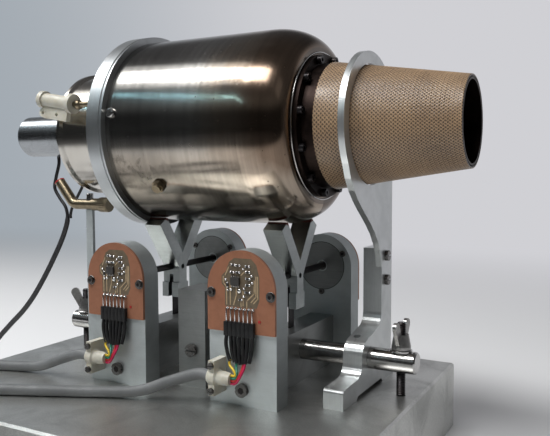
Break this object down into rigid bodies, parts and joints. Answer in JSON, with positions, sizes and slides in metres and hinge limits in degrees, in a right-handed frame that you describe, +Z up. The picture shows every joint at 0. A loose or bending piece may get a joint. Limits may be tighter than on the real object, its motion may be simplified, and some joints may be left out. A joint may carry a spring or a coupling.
{
  "type": "jet engine on thrust stand",
  "caption": "Small single-shaft turbojet with electric starter and wrapped exhaust, carried on two forked swinging arms of a bench thrust stand.",
  "frame": {"origin": "on the underside of the base, midway between the two arm axles, under the engine axis", "axes": "+X along the engine axis towards the exhaust, +Z up"},
  "size_m": [0.415, 0.3038, 0.2441],
  "materials": {
    "tinted_steel": "brushed, heat tinted",
    "satin_aluminium": "satin",
    "polished_aluminium": "polished",
    "motor_can": "bright plated",
    "black_steel": "black oxide",
    "dark_steel": "heat darkened",
    "bright_steel": "bright",
    "heat_wrap": "woven glass fibre",
    "brass": "turned",
    "nylon": "moulded",
    "copper_board": "copper clad laminate",
    "black_plastic": "moulded",
    "pad": "moulded",
    "base_plate": "worn, brushed",
    "grey_cable": "smooth jacket",
    "black_cable": "smooth jacket",
    "wires": "smooth"
  },
  "bodies": {
    "stand": {"base": "base_plate", "front_left_upright": "satin_aluminium", "front_right_upright": "satin_aluminium", "rear_left_upright": "satin_aluminium", "rear_right_upright": "satin_aluminium", "bearing_caps": "satin_aluminium", "axle_bearings": "bright_steel", "cross_beams": "satin_aluminium", "leaf_springs": "black_steel", "sensor_boards": "copper_board", "wire_housings": "black_plastic", "jumper_wires": "wires", "cable_glands": "nylon", "mid_post": "satin_aluminium", "backbone_rod": "bright_steel", "rod_studs": "black_steel", "stand_screws": "bright_steel", "exhaust_foot": "satin_aluminium", "exhaust_ring": "satin_aluminium", "pipe_support": "satin_aluminium", "gas_pipe": "brass", "left_cable": "grey_cable", "left_coil": "grey_cable", "left_plug": "black_plastic", "right_cable": "grey_cable", "right_coil": "grey_cable", "right_plug": "black_plastic", "motor_lead": "black_cable", "lead_coil": "black_cable", "lead_plug": "black_plastic"},
    "front_arm": {"left_arm": "satin_aluminium", "left_axle": "black_steel", "left_pads": "pad"},
    "rear_arm": {"right_arm": "satin_aluminium", "right_axle": "black_steel", "right_pads": "pad"},
    "engine": {"casing": "tinted_steel", "front_cover": "satin_aluminium", "intake_bell": "polished_aluminium", "starter_motor": "motor_can", "fuel_valve": "nylon", "brass_fittings": "brass", "casing_screws": "bright_steel", "diffuser": "satin_aluminium", "shaft_tunnel": "satin_aluminium", "shaft_bearings": "bright_steel", "combustor": "dark_steel", "fuel_ring": "brass", "guide_vanes": "dark_steel", "exhaust_cone": "black_steel", "flange_bolts": "black_steel", "heat_wrap": "heat_wrap"},
    "rotor": {"shaft": "bright_steel", "compressor_wheel": "polished_aluminium", "turbine_wheel": "dark_steel", "rotor_nuts": "bright_steel"},
    "starter": {"starter_clutch": "bright_steel"},
    "left_nut": {"left_wing_nut": "dark_steel"},
    "right_nut": {"right_wing_nut": "dark_steel"}
  },
  "joints": [
    {"name": "front_arm_swing", "type": "hinge", "parent": "stand", "child": "front_arm", "pos_m": [-0.0415, 0, 0.101], "axis": [0, 1, 0], "range_deg": [-2, 2], "stiffness_Nm_per_rad": 60},
    {"name": "rear_arm_swing", "type": "hinge", "parent": "stand", "child": "rear_arm", "pos_m": [0.0415, 0, 0.101], "axis": [0, 1, 0], "range_deg": [-2, 2]},
    {"name": "engine_level", "type": "hinge", "parent": "front_arm", "child": "engine", "pos_m": [-0.0415, 0, 0.1324], "axis": [0, 1, 0], "range_deg": [-2, 2]},
    {"name": "rotor_spin", "type": "hinge", "parent": "engine", "child": "rotor", "pos_m": [0, 0, 0.18562], "axis": [1, 0, 0], "continuous": true},
    {"name": "starter_spin", "type": "hinge", "parent": "engine", "child": "starter", "pos_m": [-0.12, 0, 0.18562], "axis": [1, 0, 0], "continuous": true},
    {"name": "left_nut_turn", "type": "hinge", "parent": "stand", "child": "left_nut", "pos_m": [-0.118, 0, 0.07], "axis": [0, 0, 1], "continuous": true},
    {"name": "right_nut_turn", "type": "hinge", "parent": "stand", "child": "right_nut", "pos_m": [0.108, 0, 0.07], "axis": [0, 0, 1], "continuous": true}
  ],
  "couplings": [
    {"joint": "rear_arm_swing", "follows": "front_arm_swing", "ratio": 1},
    {"joint": "engine_level", "follows": "front_arm_swing", "ratio": -1}
  ]
}
